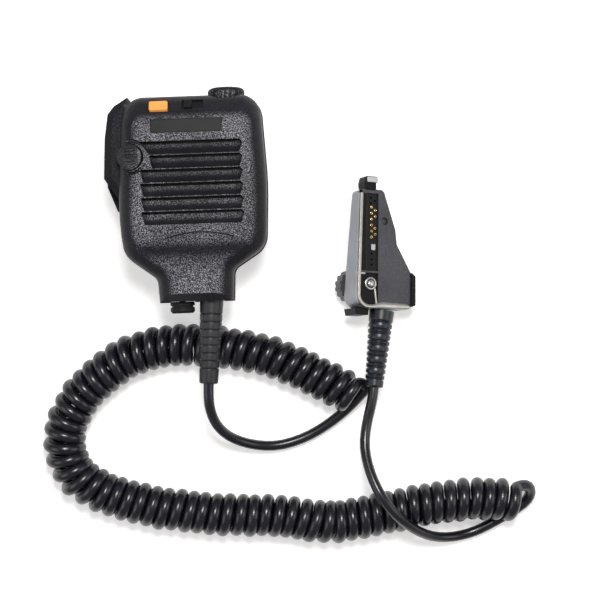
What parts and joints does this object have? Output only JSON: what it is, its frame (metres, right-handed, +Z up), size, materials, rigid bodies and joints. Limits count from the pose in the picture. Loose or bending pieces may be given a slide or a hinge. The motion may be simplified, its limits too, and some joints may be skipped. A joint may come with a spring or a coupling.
{
  "type": "hand microphone",
  "caption": "Speaker microphone lying on its back: louvred black case with talk bar, buttons, volume knob and belt clip, coiled cord and a screw-on multi-contact radio connector.",
  "frame": {"origin": "under the middle of the microphone itself, without its cord and connector, on the surface that it lies on", "axes": "+X across the case to the side opposite the talk bar, +Y towards the end with the volume knob, +Z up out of the louvred front"},
  "size_m": [0.1901, 0.1844, 0.0458],
  "materials": {
    "case_plastic": "spark-eroded matt grain",
    "bar_plastic": "matt, fine grain",
    "black_rubber": "matt",
    "orange_plastic": "satin",
    "smooth_plastic": "satin",
    "speaker_paper": "matt",
    "speaker_steel": "satin",
    "board_green": "satin",
    "socket_metal": "polished",
    "screw_steel": "dark zinc",
    "clip_steel": "black satin paint",
    "pin_steel": "ground",
    "spring_steel": "drawn wire",
    "cord_jacket": "glossy polyurethane",
    "boot_rubber": "matt",
    "plug_boot_rubber": "satin",
    "plug_metal": "satin blue-grey",
    "plug_face": "satin dark grey",
    "bright_metal": "polished",
    "gold": "gold plate",
    "knob_grey": "grey, satin"
  },
  "bodies": {
    "microphone": {"front_case": "case_plastic", "rear_case": "case_plastic", "label_plate": "smooth_plastic", "ptt_pivot_pin": "pin_steel", "ptt_switch": "smooth_plastic", "orange_button_rubber": "black_rubber", "slide_switch_plate": "smooth_plastic", "function_button_rubber": "black_rubber", "volume_control": "socket_metal", "speaker_frame": "speaker_steel", "speaker_magnet": "speaker_steel", "speaker_cone": "speaker_paper", "speaker_screen": "speaker_paper", "microphone_sleeve": "black_rubber", "microphone_capsule": "socket_metal", "circuit_board": "board_green", "mic_boot": "boot_rubber", "earphone_socket": "socket_metal", "socket_cap": "smooth_plastic", "case_screws": "screw_steel", "clip_screw": "screw_steel", "connector_shell": "plug_metal", "connector_face": "plug_face", "connector_edge": "bright_metal", "screw_frame": "bright_metal", "screw_bush": "bright_metal", "contact_block": "smooth_plastic", "contact_pins": "gold", "ground_contact": "bright_metal", "latch_hook": "smooth_plastic", "side_fin": "smooth_plastic", "connector_foot": "smooth_plastic", "connector_boot": "plug_boot_rubber", "cord_lead_mic": "cord_jacket", "cord_coil": "cord_jacket", "cord_lead_plug": "cord_jacket"},
    "ptt_bar": {"ptt_lever": "bar_plastic"},
    "orange_key": {"orange_button": "orange_plastic"},
    "slide_switch": {"slide_switch_knob": "smooth_plastic"},
    "function_key": {"function_button": "bar_plastic"},
    "volume": {"volume_knob": "case_plastic", "volume_shaft": "pin_steel"},
    "belt_clip": {"clip_base": "clip_steel", "clip_hinge_pin": "pin_steel", "clip_spring": "spring_steel"},
    "clip_jaw": {"clip_lever": "clip_steel"},
    "thumb_screw": {"thumb_screw_shank": "pin_steel", "thumb_screw_knob": "knob_grey"}
  },
  "joints": [
    {"name": "talk_bar_swing", "type": "hinge", "parent": "microphone", "child": "ptt_bar", "pos_m": [-0.02435, 0.0014, 0.027], "axis": [0, 0, -1], "range_deg": [0, 2.4], "stiffness_Nm_per_rad": 2, "springref_deg": -1.72},
    {"name": "orange_key_press", "type": "slide", "parent": "microphone", "child": "orange_key", "axis": [0, -0.5569, -0.8306], "range_m": [0, 0.0007], "stiffness_N_per_m": 2000, "springref_m": -0.0005},
    {"name": "slide_switch_move", "type": "slide", "parent": "microphone", "child": "slide_switch", "axis": [1, 0, 0], "range_m": [0, 0.0036]},
    {"name": "function_key_press", "type": "slide", "parent": "microphone", "child": "function_key", "axis": [0.309, 0, -0.9511], "range_m": [0, 0.0006], "stiffness_N_per_m": 2000, "springref_m": -0.0005},
    {"name": "volume_turn", "type": "hinge", "parent": "microphone", "child": "volume", "pos_m": [0.01635, 0.0383, 0.026], "axis": [0, 1, 0], "range_deg": [0, 270]},
    {"name": "clip_swivel", "type": "hinge", "parent": "microphone", "child": "belt_clip", "pos_m": [0.00295, 0.003, 0.011], "axis": [0, 0, 1], "continuous": true},
    {"name": "clip_open", "type": "hinge", "parent": "belt_clip", "child": "clip_jaw", "pos_m": [0.00295, 0.009, 0.0052], "axis": [1, 0, 0], "range_deg": [0, 20], "stiffness_Nm_per_rad": 0.4, "springref_deg": -42.97},
    {"name": "thumb_screw_turn", "type": "hinge", "parent": "microphone", "child": "thumb_screw", "pos_m": [0.06659, -0.03504, 0.0109], "axis": [0.4109, 0.0544, 0.9101], "continuous": true}
  ]
}
